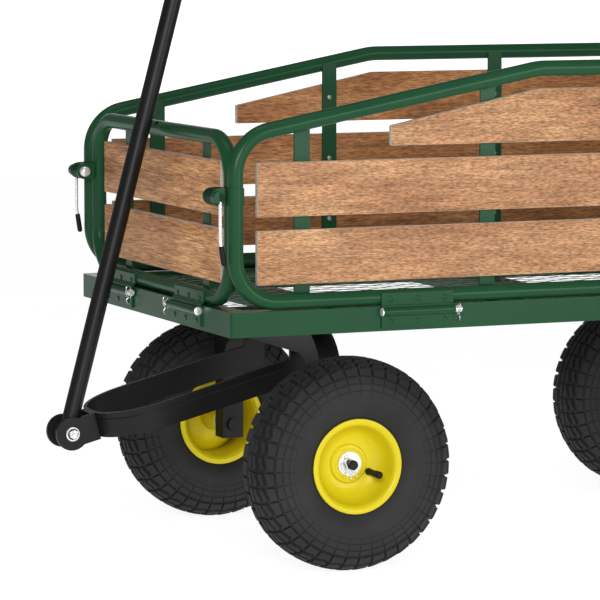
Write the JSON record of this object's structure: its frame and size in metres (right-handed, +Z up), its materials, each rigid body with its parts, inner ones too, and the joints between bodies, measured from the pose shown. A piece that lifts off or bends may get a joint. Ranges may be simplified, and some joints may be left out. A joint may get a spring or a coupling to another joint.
{
  "type": "garden cart",
  "caption": "Four-wheeled garden cart with an expanded-metal deck, fold-down slatted wooden sides and gates, pneumatic tyres and a steering pull handle.",
  "frame": {"origin": "on the floor under the middle of the overall box", "axes": "+X points to the handle end, +Y to the cart's left side, +Z up; the wheels spin about Y"},
  "size_m": [1.0844, 0.5358, 0.9239],
  "materials": {
    "green_paint": "smooth dark green enamel",
    "black_steel": "satin black paint",
    "rim_yellow": "gloss yellow enamel",
    "zinc": "bright zinc plate",
    "tyre": "matte black rubber with block tread",
    "black_rubber": "soft black rubber",
    "wood": "oiled hardwood with an open straight grain"
  },
  "bodies": {
    "deck": {"deck_frame": "green_paint", "deck_mesh": "green_paint", "deck_cross_beams": "green_paint", "front_bolster": "green_paint", "kingpin_bolt": "zinc", "kingpin_nut": "zinc", "rear_axle_arch": "black_steel", "rear_axle": "black_steel", "rear_axle_washers": "zinc", "rear_cotter_pins": "zinc", "hinge_lower_leaves": "green_paint", "hinge_pins": "zinc", "hinge_clips": "zinc"},
    "front_axle": {"front_axle_arch": "black_steel", "front_axle": "black_steel", "front_axle_washers": "zinc", "front_cotter_pins": "zinc", "steering_washer": "zinc", "tongue": "black_steel", "clevis": "black_steel"},
    "pivot_bolt": {"handle_pivot_bolt": "zinc"},
    "handle": {"handle_tube": "black_steel", "handle_grip": "black_rubber"},
    "front_left_wheel": {"front_left_rim": "rim_yellow", "front_left_tyre": "tyre", "front_left_bearings": "zinc", "front_left_valve": "black_rubber"},
    "front_right_wheel": {"front_right_rim": "rim_yellow", "front_right_tyre": "tyre", "front_right_bearings": "zinc", "front_right_valve": "black_rubber"},
    "rear_left_wheel": {"rear_left_rim": "rim_yellow", "rear_left_tyre": "tyre", "rear_left_bearings": "zinc", "rear_left_valve": "black_rubber"},
    "rear_right_wheel": {"rear_right_rim": "rim_yellow", "rear_right_tyre": "tyre", "rear_right_bearings": "zinc", "rear_right_valve": "black_rubber"},
    "left_side": {"left_side_frame": "green_paint", "left_side_slats": "wood"},
    "right_side": {"right_side_frame": "green_paint", "right_side_slats": "wood"},
    "front_gate": {"front_gate_frame": "green_paint", "front_gate_slats": "wood", "front_latch_brackets": "green_paint", "front_latch_bolts": "zinc"},
    "rear_gate": {"rear_gate_frame": "green_paint", "rear_gate_slats": "wood", "rear_latch_brackets": "green_paint", "rear_latch_bolts": "zinc"},
    "front_left_lever": {"front_left_latch_lever": "zinc", "front_left_lever_grip": "black_rubber"},
    "front_right_lever": {"front_right_latch_lever": "zinc", "front_right_lever_grip": "black_rubber"},
    "rear_left_lever": {"rear_left_latch_lever": "zinc", "rear_left_lever_grip": "black_rubber"},
    "rear_right_lever": {"rear_right_latch_lever": "zinc", "rear_right_lever_grip": "black_rubber"}
  },
  "joints": [
    {"name": "steering", "type": "hinge", "parent": "deck", "child": "front_axle", "pos_m": [0.24205, 0, 0.287], "axis": [0, 0, 1], "range_deg": [-14, 14]},
    {"name": "front_left_spin", "type": "hinge", "parent": "front_axle", "child": "front_left_wheel", "pos_m": [0.24205, 0.2188, 0.13], "axis": [0, 1, 0], "continuous": true},
    {"name": "front_right_spin", "type": "hinge", "parent": "front_axle", "child": "front_right_wheel", "pos_m": [0.24205, -0.2188, 0.13], "axis": [0, 1, 0], "continuous": true},
    {"name": "rear_left_spin", "type": "hinge", "parent": "deck", "child": "rear_left_wheel", "pos_m": [-0.39895, 0.2188, 0.13], "axis": [0, 1, 0], "continuous": true},
    {"name": "rear_right_spin", "type": "hinge", "parent": "deck", "child": "rear_right_wheel", "pos_m": [-0.39895, -0.2188, 0.13], "axis": [0, 1, 0], "continuous": true},
    {"name": "handle_follow", "type": "hinge", "parent": "front_axle", "child": "pivot_bolt", "pos_m": [0.52175, 0, 0.1545], "axis": [0, 1, 0], "range_deg": [0, 63]},
    {"name": "handle_pivot", "type": "hinge", "parent": "pivot_bolt", "child": "handle", "pos_m": [0.52175, 0, 0.1545], "axis": [0, -1, 0], "range_deg": [-110, 0]},
    {"name": "front_gate_fold", "type": "hinge", "parent": "deck", "child": "front_gate", "pos_m": [0.41325, 0, 0.3165], "axis": [0, 1, 0], "range_deg": [0, 90]},
    {"name": "rear_gate_fold", "type": "hinge", "parent": "deck", "child": "rear_gate", "pos_m": [-0.52715, 0, 0.3165], "axis": [0, -1, 0], "range_deg": [0, 170]},
    {"name": "left_side_fold", "type": "hinge", "parent": "deck", "child": "left_side", "pos_m": [-0.05695, 0.2629, 0.3165], "axis": [-1, 0, 0], "range_deg": [0, 165]},
    {"name": "right_side_fold", "type": "hinge", "parent": "deck", "child": "right_side", "pos_m": [-0.05695, -0.2629, 0.3165], "axis": [1, 0, 0], "range_deg": [0, 165]},
    {"name": "front_left_latch", "type": "hinge", "parent": "front_gate", "child": "front_left_lever", "pos_m": [0.41835, 0.25, 0.459], "axis": [0, 1, 0], "range_deg": [-110, 0]},
    {"name": "front_right_latch", "type": "hinge", "parent": "front_gate", "child": "front_right_lever", "pos_m": [0.41835, -0.25, 0.459], "axis": [0, 1, 0], "range_deg": [-110, 0]},
    {"name": "rear_left_latch", "type": "hinge", "parent": "rear_gate", "child": "rear_left_lever", "pos_m": [-0.53225, 0.25, 0.459], "axis": [0, -1, 0], "range_deg": [-110, 0]},
    {"name": "rear_right_latch", "type": "hinge", "parent": "rear_gate", "child": "rear_right_lever", "pos_m": [-0.53225, -0.25, 0.459], "axis": [0, -1, 0], "range_deg": [-110, 0]}
  ],
  "couplings": [
    {"joint": "handle_follow", "follows": "front_gate_fold", "ratio": 0.7}
  ]
}
